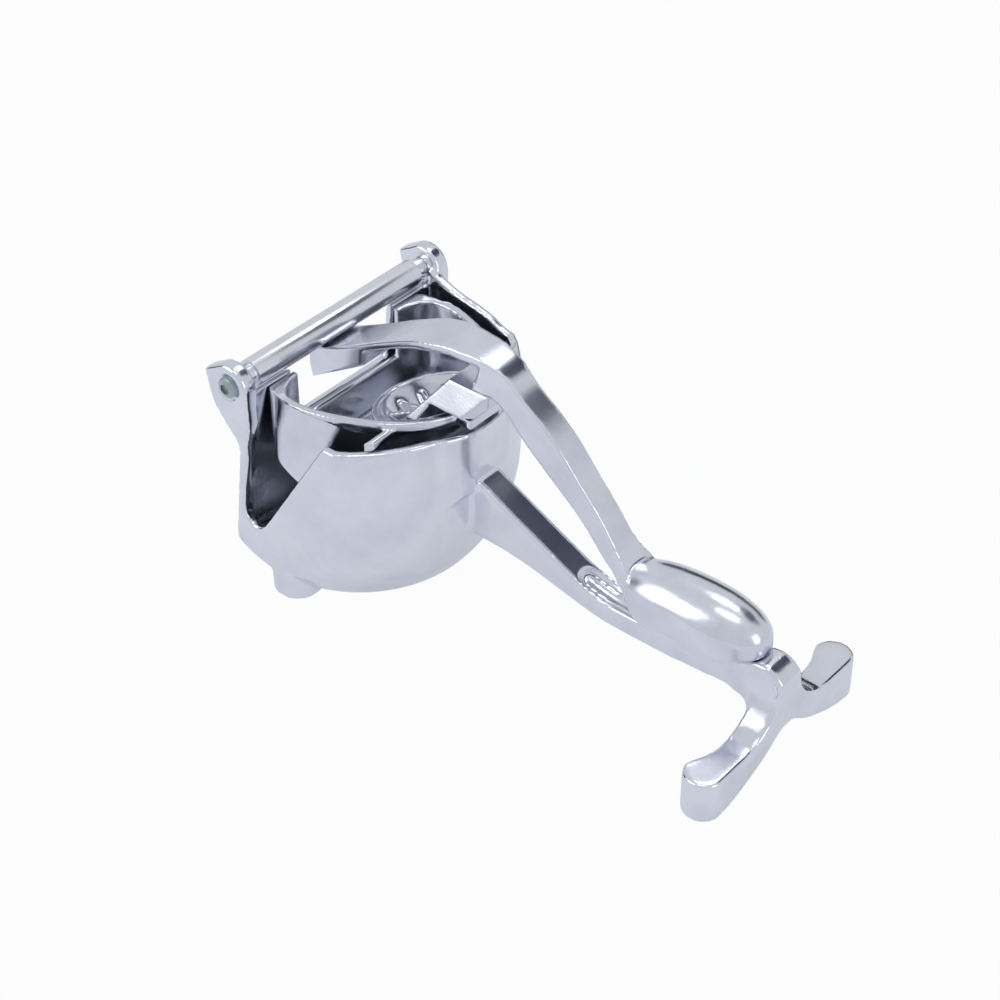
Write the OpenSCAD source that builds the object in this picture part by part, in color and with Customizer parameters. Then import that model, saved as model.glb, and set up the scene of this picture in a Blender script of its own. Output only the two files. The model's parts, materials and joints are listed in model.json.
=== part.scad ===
// Hinged lemon squeezer: a cast bowl with a lower handle, a lift-out strainer cup,
// and a press arm that hooks under a hinge bar held between two ears.
// X runs along the handles, Y along the hinge bar and Z up. The origin is under the middle of the part.

/* [Bowl] */
// Length from the back of the ears to the front of the fork
body_l = 220; // [210:1:232]
// Distance from the back of the ears to the axis of the bowl's round front
bowl_axis_x = 23.5; // [20:0.5:27]
// Outer radius of the bowl's round front
bowl_r = 60; // [58.5:0.5:61.5]
// Outer width of the bowl across its flat sides
bowl_w = 100; // [97:1:103]
// Thickness of the bowl's wall and floor
bowl_wall = 3.6; // [3:0.1:4.5]
// Height of the bowl's front rim
rim_z = 80; // [77:0.5:81]
// Height below which the side curves in towards the floor
bend_z = 45; // [42:0.5:50]
// Height of the underside of the bowl's floor
floor_z = 3; // [2:0.5:6]
// Radius of the rounding between the side and the floor
floor_round_r = 10; // [6:0.5:14]
// Distance from the back of the ears to the foot of the back wall
back_x = 4.4; // [3.5:0.1:5.5]
// Distance from the back of the ears to the leaning back wall's plane at the height of the rim
back_top_x = 12; // [10.5:0.1:12.5]
// Height of the bottom of the opening in the back wall
back_z = 62; // [54:0.5:64]
// Height of the back wall on each side of that opening
back_side_z = 86.5; // [85.5:0.25:87]
// Radius of the rounding under the back wall
back_round_r = 16; // [12:0.5:20]
// Distance from the back of the ears to where the raised edge of the closed side comes down to the rim
far_rim_x = 57; // [53:0.5:59]

/* [Pouring notch] */
// Height of the lowest point of the notch in the open side
notch_z = 27; // [24:0.5:34]
// Radius of the bottom of the notch
notch_r = 5.5; // [4:0.25:7]
// Distance from the back of the ears to the point where the notch meets the rim
notch_rim_x = 51.5; // [46:0.5:53]

/* [Ears] */
// Distance between the outer faces of the two ears
ear_span = 110; // [107:1:114]
// Thickness of each ear along the hinge bar
ear_t = 6.6; // [5.5:0.1:7.2]
// Radius of the ear's rounded front about the hinge
ear_r = 9; // [8:0.1:9.8]
// Angle at which the round top of each ear begins
ear_top_angle = 108; // [104:1:112]
// Height of the sharp corner at the back of each ear
ear_corner_z = 94.5; // [93:0.25:97]
// Height at which each ear has narrowed to the bowl's side wall
ear_merge_z = 58; // [52:0.5:59]

/* [Hinge] */
// Distance from the back of the ears to the hinge axis
hinge_x = 11.5; // [11:0.1:12]
// Height of the hinge axis
hinge_z = 91; // [90:0.1:91.5]
// Radius of the hinge bar
bar_r = 5.4; // [4.8:0.1:5.6]
// Radius and length of the neck at each end of the bar
bar_neck_r = 4; // [3.5:0.1:4.5]
bar_neck_l = 5; // [4:0.1:6]
// Radius of the counterbore for each screw head
counterbore_r = 5.5; // [4.8:0.1:6]
// Depth of the counterbore
counterbore_t = 1.6; // [1:0.1:2.5]
// Radius of the screw's shank
screw_r = 2.2; // [1.8:0.1:2.5]
// Radius of the screw's round head
screw_head_r = 4; // [3.5:0.1:4.5]
// Height of the screw's round head
screw_head_t = 3; // [2.5:0.1:3.5]
// Length of the screw in the end of the bar
screw_grip_l = 14; // [8:1:20]

/* [Feet] */
// Radius of each round foot under the bowl
foot_r = 9.6; // [8:0.1:10.5]
// Distance of each foot's axis from the middle plane
foot_y = 40.6; // [38:0.2:42]
// Distance from the back of the ears to the axis of the feet
foot_x = 26.8; // [24:0.2:32]

/* [Lower handle] */
// Width of the lower handle
handle_w = 12.6; // [11:0.2:14]
// Height of the handle's top face where it is lowest
handle_z = 31.6; // [30:0.2:33]
// Thickness of the handle where the grip lies on it
handle_t = 8.8; // [7.5:0.1:10]
// Height of the handle's top face at the bowl
root_top_z = 61; // [58:0.5:64]
// Height of the handle's underside at the bowl
root_low_z = 32; // [30:0.5:34]
// Height of the handle's underside at the fork
fork_low_z = 25.2; // [24:0.2:26]
// Half of the width of the flared boss that joins the handle to the rim
boss_half_w = 26; // [22:0.5:30]
// How far the boss stands out from the front of the bowl
boss_out = 3.5; // [2.5:0.25:5]
// Depth of the flared boss below the rim
boss_t = 15; // [10:0.5:18]
// Thickness of the boss's rim round the pocket in its top
boss_wall = 2.8; // [2.4:0.1:3.2]
// Distance from the back of the ears to the round end of the recess in the handle's top face
recess_x = 130; // [126:0.5:134]
// Width of the recess
recess_w = 9; // [7:0.2:10]
// Depth of the recess
recess_t = 2; // [1:0.1:2.4]
// Width of the ridge along the middle of the recess
ridge_w = 2.6; // [2:0.1:3.2]

/* [Fork] */
// Distance between the outer ends of the fork's two tips
fork_span = 92; // [86:1:98]
// Radius of each round tip
tip_r = 7.5; // [6.5:0.1:8]
// Thickness of the fork's arms along the handle
fork_t = 11; // [9:0.2:12]
// Highest point of the hump over the fork
hump_z = 40.5; // [39:0.25:42]
// Height at which the fork's shoulders begin
stem_z = 35; // [34:0.2:37]
// Distance from the middle plane to the foot of each shoulder
shoulder_y = 24.8; // [22:0.2:27]
// Length and reach of the hollow between the handle's side and the fork's arm
fillet_l = 10; // [7:0.5:12]
fillet_y = 12; // [10:0.25:13]
// Height at which that hollow begins
fillet_z = 23.5; // [22:0.25:26]
// Height of the tips' flat tops
pad_z = 17; // [15:0.25:18]
// Height of the arch under the fork
arch_z = 15; // [12:0.25:16]
// Distance from the middle plane to the foot of the arch
arch_half_w = 37; // [34:0.25:38]

/* [Strainer cup] */
// Distance from the back of the ears to the back of the cup
cup_back_x = 16.8; // [16.7:0.1:17.8]
// Distance from the back of the ears to the front of the cup's wall
cup_front_x = 79.4; // [78.4:0.1:79.6]
// Outer width of the cup across its flat sides
cup_w = 84; // [82:0.5:85]
// Thickness of the cup's wall
cup_wall = 2.4; // [2:0.1:3]
// Height of the cup's level rim
cup_rim_z = 86; // [85:0.25:87]
// Height of the underside of the cup's floor
cup_floor_z = 46; // [44:0.5:50]
// Radius of the rounding between the cup's side and floor
cup_round_r = 20; // [16:0.5:22]
// How far the lip stands out from the cup's side
lip_out = 1.2; // [0.8:0.1:1.6]
// Height of the lip's underside over the bowl's rim
lip_gap = 2; // [0.5:0.25:3]
// Distance from the back of the ears to the lug on each side that rests on the bowl's rim
lug_x = 65.5; // [62:0.5:68]
// Width of each lug
lug_w = 2.4; // [1.8:0.1:3]
// Width of the opening in the back wall, as a share of the cup's width
cup_gap_share = 0.64; // [0.54:0.01:0.66]
// Height of the bottom of that opening
cup_gap_z = 65; // [62:0.5:66]
// Number of slots in the cup's floor
slot_count = 16; // [10:1:18]
// Width of each slot
slot_w = 2.4; // [1.5:0.1:3]
// Length and width of the finger tab at the front of the cup
tab_l = 8; // [6:0.5:9]
tab_w = 20; // [16:0.5:24]

/* [Press arm] */
// Width of the arm's flat strip over the cup
strip_w = 20; // [16:0.5:22]
// Thickness of the strip
strip_t = 3.6; // [3:0.1:5]
// Width of the arm between the cup and the grip
arm_w = 11.4; // [10:0.2:13]
// Highest point of the arm
arm_top_z = 112; // [109:0.5:115]
// Distance from the back of the ears to the end of the grip
grip_end_x = 209.5; // [207:0.5:212]
// Largest radius of the grip's domed top
grip_r = 14.5; // [13:0.1:15.5]
// Length of the domed grip
grip_l = 61.5; // [56:0.5:66]
// Height at the nose of the axis that the grip's domed top is turned about
dome_z = 39.6; // [38.5:0.25:41]
// Angle by which that axis rises towards the tail
grip_tilt = 4; // [0:0.5:6]
// Largest width of the grip
band_w = 25; // [22:0.5:26]
// Width of the grip where it lies on the handle
band_foot_w = 17; // [14:0.5:20]

/* [Press head] */
// Distance from the back of the ears to the middle of the head's rim
head_x = 60; // [58:0.5:61]
// Height of the middle of the head's rim
head_z = 77; // [75:0.5:78]
// Radius of the head's rim, as a share of the cup's width
head_share = 0.268; // [0.24:0.002:0.276]
// Depth of the head's domed underside
head_deep = 14; // [11:0.5:16]
// Angle by which the front of the rim is higher than its back
head_tilt = 14; // [8:1:18]
// Height of the straight band round the head's rim
head_band = 1.4; // [0.8:0.1:2]
// Thickness of the head's wall
head_wall = 2.6; // [2:0.1:3.2]
// Number of ribs inside the head
rib_count = 12; // [8:1:16]
// Thickness of each rib
rib_t = 1.8; // [1.2:0.1:2.4]
// Width of the web that joins the neck to the dish
spine_w = 10; // [6:0.5:14]
// Height of the flat top of the head's neck, on which the arm's web stands
neck_z = 97.5; // [96:0.25:98.5]
// Width of the neck's flat top
neck_w = 15; // [13:0.5:18]
// Width of the neck where it meets the dish, as a share of the cup's width
neck_share = 0.43; // [0.36:0.01:0.45]
// Radius of the screw that holds the head to the arm
head_screw_r = 2; // [1.5:0.1:2.5]
// Radius and height of that screw's head
head_screw_head_r = 3.6; // [3:0.1:4]
head_screw_head_t = 2.4; // [2:0.1:3]

/* [Clearances] */
// Gap between the bar or the cup and what they are seated in
fit_gap = 0.1; // [0.05:0.01:0.2]
// Gap between surfaces that move past each other or rest on each other
seat_gap = 0.3; // [0.2:0.05:0.4]
// Room between the press head and the cup's front wall for the turning of the arm
swing_gap = 3.6; // [3.4:0.1:4.4]
// Radial clearance of a screw or pin in its hole
hole_gap = 0.05; // [0.02:0.01:0.1]

/* [Hidden] */
$fn = 96;
cut = 1;
half = 0.5;
right = 90;

metal = [0.80, 0.81, 0.84];
cup_metal = [0.74, 0.76, 0.80];
arm_metal = [0.84, 0.85, 0.88];
zinc = [0.62, 0.66, 0.66];

ear_in_y = half * ear_span - ear_t;
bar_l = 2 * (ear_in_y - fit_gap);
side_y = half * bowl_w;
front_x = bowl_axis_x + bowl_r;
hinge_at = [hinge_x, 0, hinge_z];
bar_clear_x = hinge_x + bar_r + seat_gap;
gap_half_w = half * cup_gap_share * cup_w;

// Moves the back of the ears to the back of the part's box
module place() translate([-half * body_l, 0, 0]) children();

// Stands a drawing of X and Z up and makes it w thick across the middle plane
module slab(w) translate([0, half * w, 0]) rotate([90, 0, 0]) linear_extrude(w) children();

// The same, from y0 on
module side_slab(w, y0) translate([0, y0 + w, 0]) rotate([90, 0, 0]) linear_extrude(w) children();

// A cylinder along Y that starts at y0 and is l long
module rod(r, y0, l) translate([0, y0 + l, 0]) rotate([90, 0, 0]) cylinder(r = r, h = l);

// Points of an arc, from angle a0 to angle a1
function arc(c, r, a0, a1, n = 12) = [for (i = [0:n])
    let (a = a0 + (a1 - a0) * i / n) c + r * [cos(a), sin(a)]];

// A smooth curve through a list of points
function bend(p0, p1, p2, p3, t) = half * (2 * p1 + t * (p2 - p0)
    + t * t * (2 * p0 - 5 * p1 + 4 * p2 - p3) + t * t * t * (3 * p1 - p0 - 3 * p2 + p3));
function curve(p, n = 5) = concat([for (i = [0:len(p) - 2]) for (k = [0:n - 1])
    bend(p[max(i - 1, 0)], p[i], p[i + 1], p[min(i + 2, len(p) - 1)], k / n)], [p[len(p) - 1]]);

// Points given as shares of a length and of a height
function spread(shares, l, h) = [for (s = shares) [s[0] * l, s[1] * h]];

// Height of a list of points at a given x
function height(p, x) = lookup(x, p);

// A list of points turned round, and one followed by its mirror image
function back(p) = [for (i = [len(p) - 1:-1:0]) p[i]];
function both(p) = concat(p, [for (q = back(p)) [q[0], -q[1]]]);

// Body casting

// Side of the bowl, as a radius and a height, set in from the outside by t
function wall_top(t) = ear_corner_z + (t > 0 ? cut : 0);
function bowl_side(t) = let (
        r = bowl_r - t, f = floor_round_r, z = floor_z + t,
        turn = acos((bend_z - z - f) / (r - f)), mid = [(r - f) * sin(turn), z + f])
    concat([[0, z]], arc(mid, f, -right, turn - right, 8), arc([0, bend_z], r, turn - right, 0, 14),
        [[r, wall_top(t)], [0, wall_top(t)]]);

// The back wall leans: its outside at a given height
back_low_z = floor_z + back_round_r;
function back_at(z) = back_x + (back_top_x - back_x) * (z - back_low_z) / (rim_z - back_low_z);

// Outline of the bowl from the side, with the rounding under its back
module bowl_outline(t) {
    low = floor_z + t;
    r = back_round_r - t;
    top = wall_top(t);
    polygon(concat([[back_at(top) + t, top]], arc([back_x + back_round_r, back_low_z], r, 180, 270, 10),
        [[front_x, low], [front_x, top]]));
}

module bowl_solid(t) intersection() {
    translate([bowl_axis_x, 0, 0]) rotate_extrude() polygon(bowl_side(t));
    slab(bowl_w - 2 * t) bowl_outline(t);
}

// What is taken off the walls from above: to the rim on the open side, to a raised edge on the closed side,
// and to the hinge bar's underside in the back wall
far_top_shares = [[0.241, 0.982], [0.351, 0.8], [0.459, 0.664], [0.57, 0.573], [0.678, 0.473], [0.786, 0.336],
    [0.892, 0.118], [1, 0]];
far_top = [for (s = far_top_shares) [hinge_x + s[0] * (far_rim_x - hinge_x), rim_z + s[1] * (hinge_z - rim_z)]];
wall_in_x = back_at(back_side_z) + bowl_wall;
over_z = ear_corner_z + cut + cut;
module above_walls() {
    side_slab(side_y + cut, -side_y - cut) polygon([[0, back_side_z], [wall_in_x, back_side_z],
        [wall_in_x, rim_z], [body_l, rim_z], [body_l, over_z], [0, over_z]]);
    side_slab(side_y + cut, 0) polygon(concat([[0, over_z], [0, back_side_z], [bar_clear_x, back_side_z],
        [bar_clear_x, hinge_z + cut + cut]], curve(far_top, 3), [[body_l, rim_z], [body_l, over_z]]));
    translate([0, -gap_half_w, back_z]) cube([wall_in_x + cut, 2 * gap_half_w, rim_z]);
    translate(hinge_at) rod(bar_r + seat_gap, -ear_in_y, 2 * ear_in_y);
}

// The notch in the open side
notch_turn_z = notch_z + notch_r;
notch_back_x = back_at(notch_turn_z) + bowl_wall;
notch_angle = atan((rim_z - notch_z) / (notch_rim_x - notch_back_x - notch_r));
module notch_outline() polygon(concat(
    [[back_at(rim_z + cut) + bowl_wall, rim_z + cut]],
    arc([notch_back_x + notch_r, notch_turn_z], notch_r, 180, 270 + notch_angle, 14),
    [[notch_rim_x, rim_z], [notch_rim_x, rim_z + cut]]));

// Ear outline, as shares of the hinge's distance and height: a round top about the hinge, a sharp corner
// behind it and a tail that runs down into the back corner of the bowl
ear_front_shares = [[1.775, 0.934], [1.722, 0.841], [1.53, 0.764], [1.287, 0.687], [1.12, 0.571],
    [0.9, 0.44], [0.75, 0.37]];
ear_back_shares = [[0.72, 0.42], [0.83, 0.527], [0.9, 0.615], [0.9, 0.681], [0.82, 0.731], [0.609, 0.7835],
    [0.374, 0.8626], [0.191, 0.934], [0.07, 1.005]];
module ear_outline() polygon(concat(
    [[0, ear_corner_z]],
    arc([hinge_x, hinge_z], ear_r, ear_top_angle, 0, 16),
    curve(spread(ear_front_shares, hinge_x, hinge_z), 3),
    curve(spread(ear_back_shares, hinge_x, hinge_z), 3)));

// One ear: a plate that narrows below the hinge into the bowl's side wall
module ear() intersection() {
    side_slab(half * ear_span - side_y + bowl_wall, side_y - bowl_wall) ear_outline();
    rotate([90, 0, 90]) linear_extrude(notch_rim_x) polygon([
        [ear_in_y, ear_corner_z + ear_r], [half * ear_span, ear_corner_z + ear_r],
        [half * ear_span, hinge_z - ear_r], [side_y, ear_merge_z],
        [side_y, floor_z], [side_y - bowl_wall, floor_z], [side_y - bowl_wall, ear_merge_z],
        [ear_in_y, hinge_z - ear_r]]);
}

// Side of the lower handle: its top face and its underside
root_x = front_x - bowl_wall - half * boss_out;
handle_l = body_l - root_x;
handle_top_shares = [[0, 1], [0.11, 0.74], [0.22, 0.48], [0.315, 0.26], [0.38, 0.12], [0.46, 0.02], [0.55, 0]];
hump_shares = [[0.61, 0], [0.66, 0.04], [0.74, 0.18], [0.806, 0.382], [0.849, 0.573], [0.892, 0.82],
    [0.9225, 0.966], [0.949, 1], [0.9718, 0.865], [0.9887, 0.663], [1, 0.461]];
handle_low_shares = [[0, 1], [0.12, 0.96], [0.22, 0.78], [0.32, 0.45], [0.42, 0.12], [0.5, 0], [0.66, 0]];
handle_low_z = handle_z - handle_t;
function along(shares, z0, z1) = [for (s = shares) [root_x + s[0] * handle_l, z1 + s[1] * (z0 - z1)]];
hump = curve(along(hump_shares, hump_z, handle_z), 3);
handle_top = concat(curve(along(handle_top_shares, root_top_z, handle_z)), hump);
handle_low = concat(curve(along(handle_low_shares, root_low_z, handle_low_z)),
    [[body_l - fork_t, fork_low_z], [body_l, fork_low_z]]);
module handle() slab(handle_w) polygon(concat(handle_top, back(handle_low)));

// The recess in the handle's top face, with a ridge along its middle
recess_end_x = grip_end_x - half * grip_l;
module round_bar(w, x) {
    translate([x + half * w, 0, handle_low_z]) cylinder(r = half * w, h = root_top_z);
    translate([x + half * w, -half * w, handle_low_z]) cube([recess_end_x - x - half * w, w, root_top_z]);
}
module above_handle(t) slab(handle_w) polygon(concat(
    [for (p = handle_top) if (p[0] > recess_x - recess_w && p[0] < recess_end_x + recess_w) p - [0, t]],
    [[recess_end_x + recess_w, root_top_z], [recess_x - recess_w, root_top_z]]));
module recess() difference() {
    intersection() {
        round_bar(recess_w, recess_x);
        above_handle(recess_t);
    }
    difference() {
        round_bar(ridge_w, recess_x + ridge_w);
        above_handle(half * recess_t);
    }
}

// The boss that flares out from the handle to the rim, and the pocket in its top
boss_x = front_x + boss_out;
boss_turn = asin(boss_half_w / bowl_r);
boss_steps = 6;
function flare(t) = [for (k = [boss_steps:-1:0])
    let (s = k / boss_steps, r = bowl_r - t - half * bowl_wall + (boss_out + half * bowl_wall) * (1 - s * s))
    [bowl_axis_x + r * cos(boss_turn * s), r * sin(boss_turn * s)]];
module flare_outline(t) polygon(concat(flare(t),
    [for (k = [boss_steps - 1:-1:0]) [flare(t)[k][0], -flare(t)[k][1]]], [[bowl_axis_x, 0]]));
module root_boss() intersection() {
    slab(2 * boss_half_w) polygon([[root_x, root_top_z - boss_t], [root_x, rim_z], [boss_x, rim_z],
        [boss_x, rim_z - boss_t], [boss_x - half * boss_out, root_top_z - half * boss_t]]);
    linear_extrude(rim_z) flare_outline(0);
}
module boss_pocket() translate([0, 0, rim_z - half * boss_t]) linear_extrude(boss_t) flare_outline(boss_wall);

// The fork: its outline from the front, its outline from above and its side
stem_half_w = half * handle_w;
tip_y = half * fork_span - tip_r;
arch_shares = [[1, 0], [0.892, 0.04], [0.73, 0.147], [0.568, 0.307], [0.405, 0.48], [0.27, 0.667],
    [0.162, 0.86], [0.081, 0.973], [0, 1]];
tip_shares = [[1, 1], [0.7, 0.919], [0.225, 0.805], [0, 0.675]];
arch = curve(spread(arch_shares, arch_half_w, arch_z), 3);
function shoulder(s) = [for (a = [180:15:270])
    [s * (shoulder_y + (shoulder_y - stem_half_w) * cos(a)), stem_z + (stem_z - pad_z) * sin(a)]];
module fork_outline() polygon(concat(
    [[-half * fork_span, 0], [-half * fork_span, pad_z]], back(shoulder(-1)),
    [[-stem_half_w, hump_z + cut], [stem_half_w, hump_z + cut]], shoulder(1),
    [[half * fork_span, pad_z], [half * fork_span, 0]], arch,
    [for (i = [len(arch) - 2:-1:0]) [-arch[i][0], arch[i][1]]]));
module fork_plan() polygon(both(concat(
    arc([body_l - tip_r, tip_y], tip_r, 0, 180, 16),
    [for (i = [1:len(tip_shares) - 1])
        [body_l - fork_t - tip_shares[i][0] * (2 * tip_r - fork_t), tip_shares[i][1] * tip_y]])));
module fillet_plan() polygon(both(concat(
    [for (a = [0:15:right])
        [body_l - fork_t - fillet_l * (1 - sin(a)), fillet_y - (fillet_y - stem_half_w) * cos(a)]],
    [[body_l - half * fork_t, fillet_y]])));
module fork() intersection() {
    translate([hump[0][0], 0, 0]) rotate([90, 0, 90]) linear_extrude(body_l - hump[0][0]) fork_outline();
    slab(fork_span) polygon(concat(hump, [[body_l, 0], [hump[0][0], 0]]));
    union() {
        linear_extrude(hump_z) fork_plan();
        translate([0, 0, fillet_z]) linear_extrude(hump_z) fillet_plan();
    }
}

module feet() for (s = [-1, 1]) translate([foot_x, s * foot_y, 0]) cylinder(r = foot_r, h = bend_z - foot_r);

module hinge_holes() translate(hinge_at) {
    rod(screw_r + hole_gap, -ear_span, 2 * ear_span);
    for (s = [0, 1]) mirror([0, s, 0]) rod(counterbore_r, half * ear_span - counterbore_t, counterbore_t + cut);
}

module body_casting() color(metal) place() difference() {
    union() {
        difference() {
            union() {
                bowl_solid(0);
                feet();
                root_boss();
            }
            bowl_solid(bowl_wall);
            above_walls();
            side_slab(side_y + cut, -side_y - cut) notch_outline();
            boss_pocket();
        }
        for (s = [0, 1]) mirror([0, s, 0]) ear();
        difference() {
            handle();
            bowl_solid(bowl_wall);
            recess();
        }
        fork();
    }
    hinge_holes();
}

// Strainer cup

// Half of the cup's plan, as shares of its length and of half its width: its back corners are square
// outside and round inside
cup_front_shares = [[0.26, 1], [0.38, 0.965], [0.5, 0.905], [0.62, 0.82], [0.74, 0.71], [0.85, 0.565],
    [0.93, 0.4], [0.98, 0.21], [1, 0]];
cup_plan_shares = concat([[0, 0], [0, 0.86], [0.02, 0.96], [0.08, 1]], cup_front_shares);
cup_in_shares = concat([[0, 0], [0, 0.55], [0.012, 0.78], [0.06, 0.93], [0.14, 0.995]], cup_front_shares);
cup_l = cup_front_x - cup_back_x;
cup_mid_x = half * (cup_front_x + cup_back_x);
module cup_plan(t, shares = cup_plan_shares) {
    side = curve([for (s = shares)
        [cup_mid_x + (s[0] - half) * (cup_l - 2 * t), s[1] * (half * cup_w - t)]], 4);
    polygon(concat(side, [for (i = [len(side) - 2:-1:1]) [side[i][0], -side[i][1]]]));
}

// Side of the cup towards its floor, as a radius and a height, set in from the outside by t
cup_bulge_share = 1.25;
function cup_side(t) = let (r = cup_bulge_share * half * cup_w - t, z = cup_floor_z + t, f = cup_round_r - t,
        top = cup_rim_z + (t > 0 ? cut : 0))
    concat([[0, z]], arc([r - f, z + f], f, -right, 0, 10), [[r, top], [0, top]]);
module cup_body(t) intersection() {
    linear_extrude(cup_rim_z + cut) cup_plan(t, t > 0 ? cup_in_shares : cup_plan_shares);
    translate([cup_mid_x, 0, 0]) rotate_extrude() polygon(cup_side(t));
}
module cup_shell() difference() {
    cup_body(0);
    cup_body(cup_wall);
}

// The lip, which grows out of the side walls towards the front
lip_z = rim_z + lip_gap;
lip_start_share = 0.18;
lip_full_share = 0.66;
module cup_lip() intersection() {
    translate([0, 0, lip_z]) difference() {
        linear_extrude(cup_rim_z - lip_z) cup_plan(-lip_out);
        translate([0, 0, -cut]) linear_extrude(cup_rim_z) cup_plan(half * cup_wall);
    }
    slab(2 * cup_w) polygon([[cup_back_x + lip_start_share * cup_l, cup_rim_z],
        [cup_back_x + lip_full_share * cup_l, lip_z], [body_l, lip_z], [body_l, cup_rim_z]]);
}

// The lugs under the lip
lug_z = rim_z + seat_gap;
module cup_lugs() intersection() {
    translate([lug_x - half * lug_w, -cup_w, lug_z])
        cube([lug_w, 2 * cup_w, half * (lip_z + cup_rim_z) - lug_z]);
    difference() {
        translate([bowl_axis_x, 0, 0]) cylinder(r = bowl_r - half * bowl_wall, h = cup_rim_z);
        linear_extrude(cup_rim_z) cup_plan(half * cup_wall);
    }
}

tab_pocket_shares = [0.5, 0.25, 0.33];
module cup_tab() translate([cup_front_x - half * cup_wall, -half * tab_w, lip_z]) difference() {
    cube([tab_l, tab_w, cup_rim_z - lip_z]);
    translate([tab_pocket_shares[0] * tab_l, tab_pocket_shares[1] * tab_w, half * (cup_rim_z - lip_z)])
        cube([tab_pocket_shares[2] * tab_l, half * tab_w, cup_rim_z]);
}

// Slots in the floor: they begin where there is still metal between them
slot_in_share = 0.62;
slot_reach_share = 0.2;
slot_in_r = slot_in_share * slot_count * slot_w / PI;
module cup_slots() translate([cup_mid_x, 0, cup_floor_z - cut]) {
    for (i = [0:slot_count - 1]) rotate([0, 0, 360 * (i + half) / slot_count])
        translate([slot_in_r, -half * slot_w, 0])
            cube([slot_reach_share * cup_w, slot_w, cut + cup_wall + cut]);
    cylinder(r = slot_w, h = cut + cup_wall + cut);
}

module strainer_cup() color(cup_metal) place() difference() {
    union() {
        cup_shell();
        cup_lip();
        cup_tab();
        cup_lugs();
    }
    translate([0, -gap_half_w, cup_gap_z]) cube([cup_back_x + 2 * cup_wall, 2 * gap_half_w, cup_rim_z]);
    cup_slots();
}

// Press arm

arm_l = grip_end_x - hinge_x;
arm_rise = arm_top_z - handle_z;
arm_top_shares = [[-0.03, 0.683], [0, 0.674], [0.018, 0.68], [0.053, 0.721], [0.0957, 0.7736], [0.1661, 0.868],
    [0.2395, 0.953], [0.3073, 0.9963], [0.3468, 1], [0.387, 0.9975], [0.4344, 0.9577], [0.4734, 0.872],
    [0.518, 0.7935], [0.563, 0.694], [0.608, 0.567], [0.6537, 0.44],
    [0.688, 0.327], [0.722, 0.234], [0.741, 0.185], [0.782, 0.142]];
strip_low_shares = [[0.1215, 0.81], [0.1661, 0.868], [0.2395, 0.953], [0.3073, 0.9963], [0.3468, 1],
    [0.384, 0.998]];
tongue_low_shares = [[0.1215, 0.69], [-0.013, 0.484], [-0.024, 0.6]];
web_foot_shares = [0.367, 0.4076];
web_low_shares = [[0.4344, 0.7736], [0.474, 0.668], [0.5195, 0.572], [0.5646, 0.4826], [0.61, 0.3868],
    [0.6562, 0.2575], [0.679, 0.204],
    [0.7165, 0.123], [0.747, 0.071], [0.772, 0.032]];
function arm_at(shares) = [for (s = shares) [hinge_x + s[0] * arm_l, handle_z + s[1] * arm_rise]];
arm_top = curve(arm_at(arm_top_shares));
arm_strip_low = [for (p = curve(arm_at(strip_low_shares))) p - [0, strip_t]];
web_foot_x = hinge_x + web_foot_shares[0] * arm_l;
web_toe_x = hinge_x + web_foot_shares[1] * arm_l;
arm_web_low = concat([[web_foot_x, neck_z]], curve(concat([[web_toe_x, neck_z]], arm_at(web_low_shares))));
// The grip's underside follows the handle's top face
band_share = 0.785;
grip_low = concat(
    [for (p = handle_top) if (p[0] > hinge_x + band_share * arm_l && p[0] < grip_end_x) p + [0, seat_gap]],
    [[grip_end_x, height(handle_top, grip_end_x) + seat_gap]]);
module arm_outline() polygon(concat(arm_top, back(arm_web_low), back(arm_strip_low),
    arm_at(tongue_low_shares)));

// Half of the arm's width, as shares of the arm's length and of the strip's or the grip's width
strip_plan_shares = [[-0.02, 1], [0.24, 1], [0.32, 0.9], [0.4, 0.72]];
grip_plan_shares = [[0.686, 0.48], [0.711, 0.6], [0.7266, 0.704], [0.7367, 0.8], [0.767, 0.944], [0.828, 1],
    [0.904, 1], [0.9544, 0.82], [0.977, 0.62], [0.99, 0.44], [1, 0.2]];
function plan_at(shares, w) = [for (s = shares) [hinge_x + s[0] * arm_l, half * s[1] * w]];
arm_plan = concat(curve(concat(plan_at(strip_plan_shares, strip_w), plan_at([[0.46, 1], [0.58, 1]], arm_w)), 4),
    curve(concat(plan_at([[0.65, 0.95]], arm_w), plan_at(grip_plan_shares, band_w)), 4));

// The grip's sides draw in from its widest height down to the handle
module grip_section() rotate([90, 0, 90]) linear_extrude(body_l) polygon([
    [half * band_foot_w, handle_z], [half * band_w + seat_gap, dome_z], [strip_w, arm_top_z + cut],
    [-strip_w, arm_top_z + cut], [-half * band_w - seat_gap, dome_z], [-half * band_foot_w, handle_z]]);

// The domed grip: an almond turned about its own axis and cut off over the handle
dome_shares = [[0, 0.38], [0.033, 0.586], [0.082, 0.745], [0.148, 0.855], [0.246, 0.952], [0.377, 1],
    [0.541, 0.993], [0.705, 0.924], [0.852, 0.76], [0.93, 0.58], [0.975, 0.4], [1, 0.2]];
module grip_dome() {
    side = curve(spread(dome_shares, grip_l, grip_r), 3);
    intersection() {
        translate([grip_end_x - grip_l, 0, dome_z]) rotate([0, right - grip_tilt, 0]) rotate_extrude()
            polygon(concat([[0, 0]], [for (p = side) [p[1], p[0]]], [[0, grip_l]]));
        slab(2 * band_w) polygon(concat([for (i = [1:len(arm_web_low) - 1]) arm_web_low[i]], grip_low,
            [[grip_end_x, arm_top_z], [web_toe_x, arm_top_z]]));
    }
}

head_screw_x = half * (web_foot_x + web_toe_x);
head_screw_l = half * (arm_top_z - neck_z);
module head_screw_at() translate([head_screw_x, 0, neck_z]) children();

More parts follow.
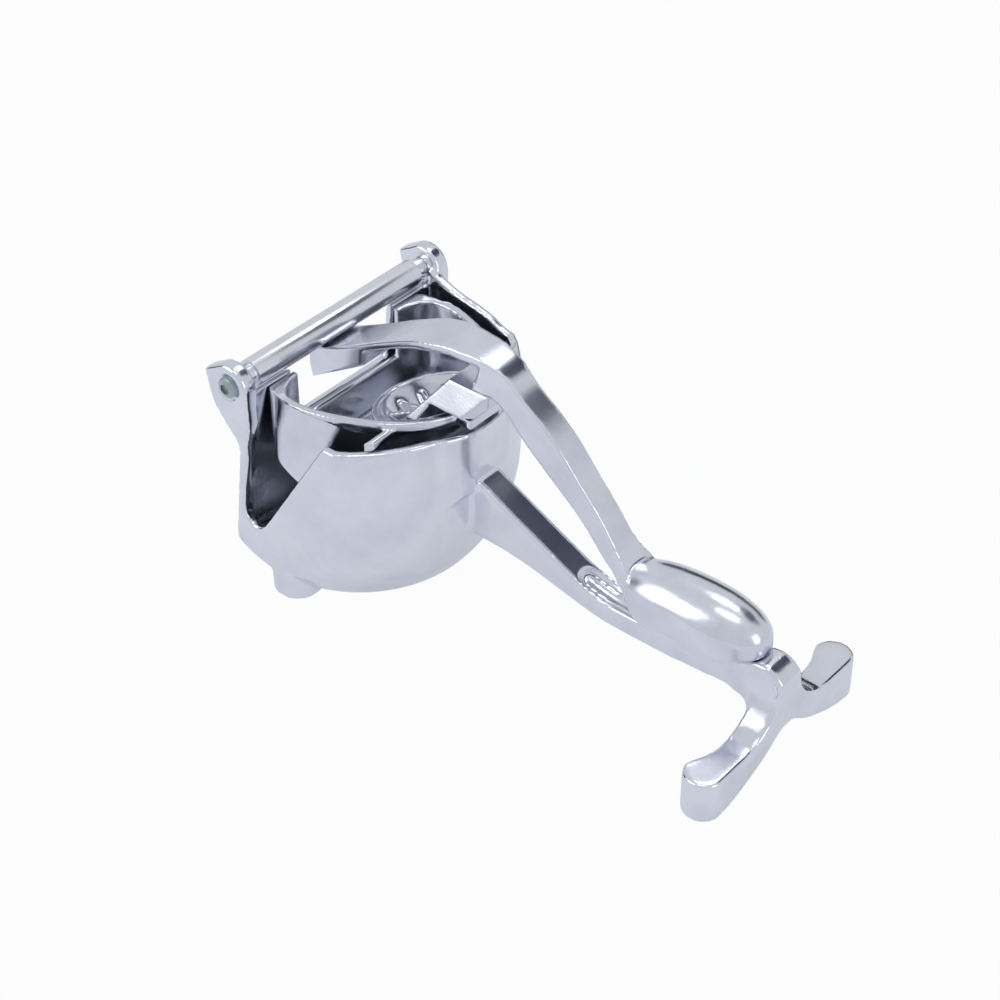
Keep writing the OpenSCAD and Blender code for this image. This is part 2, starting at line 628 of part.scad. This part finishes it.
module press_arm() color(arm_metal) place() difference() {
    intersection() {
        union() {
            slab(2 * strip_w) arm_outline();
            grip_dome();
        }
        linear_extrude(2 * arm_top_z) polygon(both(arm_plan));
        grip_section();
    }
    translate(hinge_at) rod(bar_r + seat_gap, -strip_w, 2 * strip_w);
    head_screw_at() translate([0, 0, -cut]) cylinder(r = head_screw_r + hole_gap, h = cut + head_screw_l + cut);
}

// Press head

head_r = head_share * cup_w;
neck_low_w = neck_share * cup_w;
head_ball_r = (head_r * head_r + head_deep * head_deep) / (2 * head_deep);
module tilt_head() translate([head_x, 0, head_z]) rotate([0, -head_tilt, 0]) children();

rib_reach_share = 0.8;
// Side of a shallow dish of ball radius r about the same centre, up to the radius e
module dish(r, e, top) rotate_extrude() polygon(concat(
    [for (k = [0:12]) let (a = k * asin(e / r) / 12) [r * sin(a), head_ball_r - head_deep - r * cos(a)]],
    [[e, top], [0, top]]));
module head_dish() {
    difference() {
        dish(head_ball_r, head_r, head_band);
        dish(head_ball_r - head_wall, head_r - head_wall, head_band + cut);
    }
    difference() {
        intersection() {
            dish(head_ball_r - half * head_wall, head_r * rib_reach_share, -head_wall);
            for (i = [0:rib_count - 1]) rotate([0, 0, 360 * i / rib_count])
                translate([0, -half * rib_t, -head_deep]) cube([head_r, rib_t, head_deep]);
        }
        translate([0, 0, -head_deep + 2 * head_wall]) cylinder(r = 2 * head_wall, h = head_deep);
    }
    intersection() {
        dish(head_ball_r - half * head_wall, head_r - head_wall, head_wall);
        translate([head_wall, -half * spine_w, -head_deep]) cube([head_r, spine_w, head_deep + head_wall]);
    }
}

// The neck: it rises from the front of the dish, narrows to the flat top and clears the cup's rim
neck_back_share = 0.62;
neck_low_share = 0.1;
neck_back_x = head_x + neck_back_share * head_r;
neck_t = head_screw_head_t + head_wall;
neck_clear_z = cup_rim_z + cup_wall;
neck_low_z = head_z + neck_low_share * head_r;
module neck() hull() {
    translate([neck_back_x, -half * neck_w, neck_z - neck_t]) cube([web_toe_x - neck_back_x, neck_w, neck_t]);
    translate([head_x + head_wall, -half * neck_low_w, neck_low_z])
        cube([cup_front_x - cup_wall - head_x, neck_low_w, head_wall]);
}

// Room for the head below the cup's rim, so that it clears the cup's front wall while the arm turns
room_t = cup_wall + seat_gap;
room_r = cup_front_x - room_t - hinge_x - seat_gap;
module head_room() {
    linear_extrude(neck_clear_z) cup_plan(room_t + swing_gap, cup_in_shares);
    translate([0, -cup_w, neck_clear_z]) cube([body_l, 2 * cup_w, arm_top_z]);
}

module press_head() color(cup_metal) place() difference() {
    intersection() {
        union() {
            intersection() {
                tilt_head() head_dish();
                translate(hinge_at) rod(room_r, -cup_w, 2 * cup_w);
            }
            neck();
        }
        head_room();
    }
    head_screw_at() {
        translate([0, 0, -2 * neck_t]) cylinder(r = head_screw_r + hole_gap, h = 3 * neck_t);
        translate([0, 0, -3 * neck_t])
            cylinder(r = head_screw_head_r + seat_gap, h = 2 * neck_t + head_screw_head_t);
    }
}

module head_screw() color(zinc) place() head_screw_at() {
    under = -neck_t + head_screw_head_t;
    translate([0, 0, under - fit_gap - head_screw_head_t]) difference() {
        cylinder(r = head_screw_head_r, h = head_screw_head_t);
        translate([0, 0, -cut])
            cylinder(r = half * head_screw_head_r, h = half * head_screw_head_t + cut, $fn = 6);
    }
    translate([0, 0, under - fit_gap - half * half * head_screw_head_t])
        cylinder(r = head_screw_r, h = head_screw_l - under);
}

// Hinge bar and its screws

module hinge_bar() color(arm_metal) place() translate(hinge_at) difference() {
    union() {
        rod(bar_neck_r, -half * bar_l, bar_l);
        rod(bar_r, bar_neck_l - half * bar_l, bar_l - 2 * bar_neck_l);
    }
    for (s = [0, 1]) mirror([0, s, 0])
        rod(screw_r + hole_gap, half * bar_l - screw_grip_l - cut, cut + screw_grip_l + cut);
}

socket_share = 0.55;
socket_r = socket_share * screw_head_r;
seat_y = half * ear_span - counterbore_t;
module hinge_screw() difference() {
    union() {
        rod(screw_r, half * bar_l - screw_grip_l, seat_y - half * bar_l + screw_grip_l + fit_gap);
        intersection() {
            rod(screw_head_r, seat_y + fit_gap, screw_head_t);
            translate([0, seat_y - screw_head_r, 0]) sphere(r = screw_head_r + screw_head_t);
        }
    }
    translate([0, seat_y + half * screw_head_t, 0]) rotate([-90, 30, 0])
        cylinder(r = socket_r, h = screw_head_t + cut, $fn = 6);
}
module hinge_screws() color(zinc) place() translate(hinge_at)
    for (s = [0, 1]) mirror([0, s, 0]) hinge_screw();

body_casting();
strainer_cup();
press_arm();
press_head();
head_screw();
hinge_bar();
hinge_screws();
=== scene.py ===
import json
import math

import bmesh
import bpy
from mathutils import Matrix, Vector


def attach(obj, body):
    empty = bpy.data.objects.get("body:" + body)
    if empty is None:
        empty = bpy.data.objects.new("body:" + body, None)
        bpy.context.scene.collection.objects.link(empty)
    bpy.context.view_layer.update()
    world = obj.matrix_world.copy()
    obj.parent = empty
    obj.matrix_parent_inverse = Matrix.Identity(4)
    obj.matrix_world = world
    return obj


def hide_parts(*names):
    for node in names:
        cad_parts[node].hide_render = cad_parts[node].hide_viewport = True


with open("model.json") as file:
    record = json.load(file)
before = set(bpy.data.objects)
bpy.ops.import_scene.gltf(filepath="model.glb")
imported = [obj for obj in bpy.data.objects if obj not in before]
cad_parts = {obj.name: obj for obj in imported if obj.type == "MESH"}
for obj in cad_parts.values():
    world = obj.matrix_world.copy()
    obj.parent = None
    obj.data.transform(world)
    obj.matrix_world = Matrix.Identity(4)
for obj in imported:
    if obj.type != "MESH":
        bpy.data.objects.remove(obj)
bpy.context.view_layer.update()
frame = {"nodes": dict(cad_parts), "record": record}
scene = bpy.context.scene
bodies = {node: body for body, nodes in frame["record"]["behaviour"]["bodies"].items() for node in nodes}


def link(obj):
    scene.collection.objects.link(obj)
    return obj


def facing(at, aim, axis):
    return (Vector(aim) - Vector(at)).to_track_quat(axis, "Y").to_euler()


# Camera at the photo's angle, with the lens that the perspective of the photo asks for
CAMERA_AT = (0.4147, -0.5177, 0.5755)
CAMERA_AIM = (-0.01865, 0.0, 0.04803)
SENSOR_WIDTH, FOCAL_LENGTH = 36.0, 85.39
camera_data = bpy.data.cameras.new("camera")
camera_data.sensor_width = SENSOR_WIDTH
camera_data.lens = FOCAL_LENGTH
camera_data.clip_start = 0.01
camera = link(bpy.data.objects.new("camera", camera_data))
camera.location = CAMERA_AT
camera.rotation_euler = facing(CAMERA_AT, CAMERA_AIM, "-Z")
scene.camera = camera


# Small helpers for node trees
def tree(owner):
    owner.use_nodes = True
    nodes = owner.node_tree.nodes
    nodes.clear()
    return nodes, owner.node_tree.links


def noise(nodes, links, vector, scale, detail, roughness):
    node = nodes.new("ShaderNodeTexNoise")
    node.inputs["Scale"].default_value = scale
    node.inputs["Detail"].default_value = detail
    node.inputs["Roughness"].default_value = roughness
    links.new(vector, node.inputs["Vector"])
    return node.outputs["Fac"]


def spread(nodes, links, value, low, high, start=0.3, end=0.7):
    node = nodes.new("ShaderNodeMapRange")
    node.inputs["From Min"].default_value = start
    node.inputs["From Max"].default_value = end
    node.inputs["To Min"].default_value = low
    node.inputs["To Max"].default_value = high
    links.new(value, node.inputs["Value"])
    return node.outputs["Result"]


def bump(nodes, links, height, strength, distance, normal=None):
    node = nodes.new("ShaderNodeBump")
    node.inputs["Strength"].default_value = strength
    node.inputs["Distance"].default_value = distance
    links.new(height, node.inputs["Height"])
    if normal is not None:
        links.new(normal, node.inputs["Normal"])
    return node.outputs["Normal"]


# Noise of each surface effect: scale, detail and roughness
CLOUDS = (55.0, 4.0, 0.6)
BUFFING = (38.0, 3.0, 0.55)
WAVES = (42.0, 1.0, 0.4)
BRUSHING = (1400.0, 2.0, 0.6)
PITTING = (900.0, 1.0, 0.5)
# Where the colour's clouds start and end, and the noise values that become pits
CLOUD_START, CLOUD_END = 0.3, 0.62
PIT_START, PIT_END = 0.22, 0.34
# Depths in metres, and the strength of the brushing
WAVE_DEPTH, BRUSH_DEPTH, PIT_DEPTH = 0.004, 0.0004, 0.0003
BRUSH_STRENGTH = 0.05


# Polished metal: faint clouds in the colour, buffed and duller areas, fine brushing and a slight waviness
def metal(name, light, dark, rough, wave, grain_axis=(1.0, 1.0, 1.0), pits=0.0):
    material = bpy.data.materials.new(name)
    nodes, links = tree(material)
    out = nodes.new("ShaderNodeOutputMaterial")
    shader = nodes.new("ShaderNodeBsdfPrincipled")
    shader.inputs["Metallic"].default_value = 1.0
    links.new(shader.outputs["BSDF"], out.inputs["Surface"])
    place = nodes.new("ShaderNodeTexCoord").outputs["Object"]

    ramp = nodes.new("ShaderNodeValToRGB")
    first, last = ramp.color_ramp.elements
    first.position, first.color = CLOUD_START, (*dark, 1.0)
    last.position, last.color = CLOUD_END, (*light, 1.0)
    links.new(noise(nodes, links, place, *CLOUDS), ramp.inputs["Fac"])
    links.new(ramp.outputs["Color"], shader.inputs["Base Color"])

    buffed = noise(nodes, links, place, *BUFFING)
    links.new(spread(nodes, links, buffed, *rough), shader.inputs["Roughness"])

    normal = bump(nodes, links, noise(nodes, links, place, *WAVES), wave, WAVE_DEPTH)
    stretch = nodes.new("ShaderNodeMapping")
    stretch.inputs["Scale"].default_value = grain_axis
    links.new(place, stretch.inputs["Vector"])
    brushing = noise(nodes, links, stretch.outputs["Vector"], *BRUSHING)
    normal = bump(nodes, links, brushing, BRUSH_STRENGTH, BRUSH_DEPTH, normal)
    if pits:
        pocks = noise(nodes, links, place, *PITTING)
        pocks = spread(nodes, links, pocks, 0.0, 1.0, PIT_START, PIT_END)
        normal = bump(nodes, links, pocks, pits, PIT_DEPTH, normal)
    links.new(normal, shader.inputs["Normal"])
    return material


# One material per node: light and dark colour, range of roughness, waviness, grain of the brushing and pits
materials = {
    "body_casting": metal("polished_cast_body", (0.82, 0.84, 0.90), (0.74, 0.76, 0.83),
                          (0.13, 0.22), 0.10, pits=0.06),
    "strainer_cup": metal("polished_cast_cup", (0.78, 0.80, 0.86), (0.69, 0.71, 0.78),
                          (0.13, 0.22), 0.10, pits=0.05),
    "press_arm": metal("polished_cast_arm", (0.82, 0.84, 0.90), (0.72, 0.74, 0.82),
                       (0.16, 0.28), 0.06, grain_axis=(0.15, 1.0, 0.4)),
    "press_head": metal("polished_cast_head", (0.76, 0.78, 0.84), (0.67, 0.69, 0.76),
                        (0.13, 0.23), 0.08, pits=0.05),
    "hinge_bar": metal("turned_bar", (0.86, 0.87, 0.92), (0.78, 0.79, 0.85),
                       (0.20, 0.30), 0.02, grain_axis=(1.0, 0.04, 1.0)),
    "hinge_screws": metal("zinc_hinge_screws", (0.50, 0.57, 0.57), (0.36, 0.42, 0.43),
                          (0.24, 0.36), 0.05),
    "head_screw": metal("zinc_head_screw", (0.66, 0.70, 0.70), (0.54, 0.58, 0.58),
                        (0.22, 0.34), 0.05),
}

WELD_DISTANCE = 1e-6


def weld(source, target, outward=False):
    shape = bmesh.new()
    shape.from_mesh(source)
    bmesh.ops.remove_doubles(shape, verts=shape.verts, dist=WELD_DISTANCE)
    if outward:
        bmesh.ops.recalc_face_normals(shape, faces=shape.faces)
    shape.to_mesh(target)
    shape.free()


def dress(obj, node):
    obj.data.materials.clear()
    obj.data.materials.append(materials[node])
    for face in obj.data.polygons:
        face.use_smooth = True
    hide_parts(node)
    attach(obj, bodies[node])


# A casting: the frame's solid with its sharp edges and corners rounded as a mould leaves them
def casting(node, voxel, rounds):
    work = bpy.data.meshes.new(node + "_work")
    weld(frame["nodes"][node].data, work, outward=True)
    obj = link(bpy.data.objects.new(node + "_casting", work))
    remesh = obj.modifiers.new("remesh", "REMESH")
    remesh.mode = "VOXEL"
    remesh.voxel_size = voxel
    relax = obj.modifiers.new("relax", "SMOOTH")
    relax.factor = 0.5
    relax.iterations = rounds
    bpy.context.view_layer.update()
    done = bpy.data.meshes.new_from_object(obj.evaluated_get(bpy.context.evaluated_depsgraph_get()))
    obj.modifiers.clear()
    obj.data = done
    bpy.data.meshes.remove(work)
    dress(obj, node)


# A turned or bought piece: the frame's own exact shape with its edges broken
def turned(node, edge_width):
    work = frame["nodes"][node].data.copy()
    weld(work, work)
    obj = link(bpy.data.objects.new(node + "_piece", work))
    edges = obj.modifiers.new("broken_edges", "BEVEL")
    edges.width = edge_width
    edges.segments = 3
    edges.limit_method = "ANGLE"
    edges.angle_limit = math.radians(40)
    edges.harden_normals = True
    dress(obj, node)


# Voxel size in metres and rounds of smoothing
casting("body_casting", 0.0008, 14)
casting("strainer_cup", 0.0006, 7)
casting("press_arm", 0.0006, 12)
casting("press_head", 0.0005, 8)
# Width of the broken edges in metres
turned("hinge_bar", 0.0005)
turned("hinge_screws", 0.0003)
turned("head_screw", 0.0003)

# Share of a plain glow that the camera sees, and share of it that polished metal mirrors
FLOOR_SEEN, FLOOR_MIRRORED = 0.96, 0.40
ROOM_SEEN, ROOM_MIRRORED = 1.0, 0.42


def maths(nodes, links, operation, first, second):
    node = nodes.new("ShaderNodeMath")
    node.operation = operation
    links.new(first, node.inputs[0])
    if isinstance(second, float):
        node.inputs[1].default_value = second
    else:
        links.new(second, node.inputs[1])
    return node.outputs[0]


# The real surface where the object is lit, and the glow where the camera or a mirror sees it
def glowing(nodes, links, surface, glow, out, seen_share, mirrored_share):
    path = nodes.new("ShaderNodeLightPath").outputs
    seen = maths(nodes, links, "MAXIMUM", path["Is Camera Ray"], path["Is Transmission Ray"])
    seen = maths(nodes, links, "MULTIPLY", seen, seen_share)
    mirrored = maths(nodes, links, "MULTIPLY", path["Is Glossy Ray"], mirrored_share)
    mix = nodes.new("ShaderNodeMixShader")
    links.new(maths(nodes, links, "MAXIMUM", seen, mirrored), mix.inputs["Fac"])
    links.new(surface, mix.inputs[1])
    links.new(glow, mix.inputs[2])
    links.new(mix.outputs["Shader"], out)


def plane(name, size, at):
    half_x, half_y = size[0] / 2, size[1] / 2
    corners = [(-half_x, -half_y, 0), (half_x, -half_y, 0), (half_x, half_y, 0), (-half_x, half_y, 0)]
    data = bpy.data.meshes.new(name)
    data.from_pydata(corners, [], [(0, 1, 2, 3)])
    obj = link(bpy.data.objects.new(name, data))
    obj.location = at
    return obj


def matt_surface(nodes, colour):
    matt = nodes.new("ShaderNodeBsdfDiffuse")
    matt.inputs["Color"].default_value = (*colour, 1.0)
    return matt.outputs["BSDF"]


# Floor: pale, with the object's shadow kept
floor = plane("floor", (6.0, 6.0), (0, 0, 0))
pale = bpy.data.materials.new("pale_floor")
nodes, links = tree(pale)
out = nodes.new("ShaderNodeOutputMaterial")
glow = nodes.new("ShaderNodeEmission")
glow.inputs["Color"].default_value = (1.0, 1.0, 1.0, 1.0)
glowing(nodes, links, matt_surface(nodes, (0.82, 0.84, 0.90)), glow.outputs["Emission"],
        out.inputs["Surface"], FLOOR_SEEN, FLOOR_MIRRORED)
floor.data.materials.append(pale)

# The cards and lamps all face this point of the object
MIDDLE = (-0.01, 0.0, 0.05)


# Dark cards beside the set, which polished metal needs to show its form. The camera doesn't see them.
def card(name, size, at, shade):
    obj = plane(name, size, at)
    obj.rotation_euler = facing(at, MIDDLE, "Z")
    black = bpy.data.materials.new(name)
    nodes, links = tree(black)
    out = nodes.new("ShaderNodeOutputMaterial")
    links.new(matt_surface(nodes, shade), out.inputs["Surface"])
    obj.data.materials.append(black)
    obj.visible_camera = False
    obj.visible_shadow = False
    obj.visible_diffuse = False


card("dark_card_top", (0.6, 0.5), (0.24, 0.68, 0.88), (0.10, 0.10, 0.14))
card("dark_card_back", (1.2, 0.4), (-0.3, 1.3, 0.25), (0.02, 0.02, 0.03))
card("dark_card_left", (0.35, 0.8), (-1.1, -0.35, 0.35), (0.02, 0.02, 0.03))


# Soft lamps: size in metres, place, power in watts and colour
def lamp(name, size, at, power, colour):
    data = bpy.data.lights.new(name, "AREA")
    data.shape = "RECTANGLE"
    data.size, data.size_y = size
    data.energy = power
    data.color = colour
    obj = link(bpy.data.objects.new(name, data))
    obj.location = at
    obj.rotation_euler = facing(at, MIDDLE, "-Z")


lamp("key_light", (0.7, 0.6), (-0.60, -0.70, 0.80), 2.7, (0.97, 0.98, 1.0))
lamp("top_light", (0.35, 0.3), (0.05, -0.10, 1.30), 0.8, (0.97, 0.98, 1.0))
lamp("side_light", (0.4, 0.6), (1.1, -0.1, 0.5), 1.2, (0.95, 0.97, 1.0))
lamp("back_light", (0.3, 0.25), (-0.14, 0.50, 0.95), 0.8, (0.97, 0.98, 1.0))


def background(nodes, colour, strength):
    node = nodes.new("ShaderNodeBackground")
    node.inputs["Color"].default_value = (*colour, 1.0)
    node.inputs["Strength"].default_value = strength
    return node.outputs["Background"]


# World: soft and faintly blue on the object, and white behind it
world = bpy.data.worlds.new("studio")
scene.world = world
nodes, links = tree(world)
out = nodes.new("ShaderNodeOutputWorld")
glowing(nodes, links, background(nodes, (0.82, 0.86, 0.97), 0.5), background(nodes, (1.0, 1.0, 1.0), 1.0),
        out.inputs["Surface"], ROOM_SEEN, ROOM_MIRRORED)

scene.view_settings.view_transform = "Standard"

bpy.context.view_layer.update()
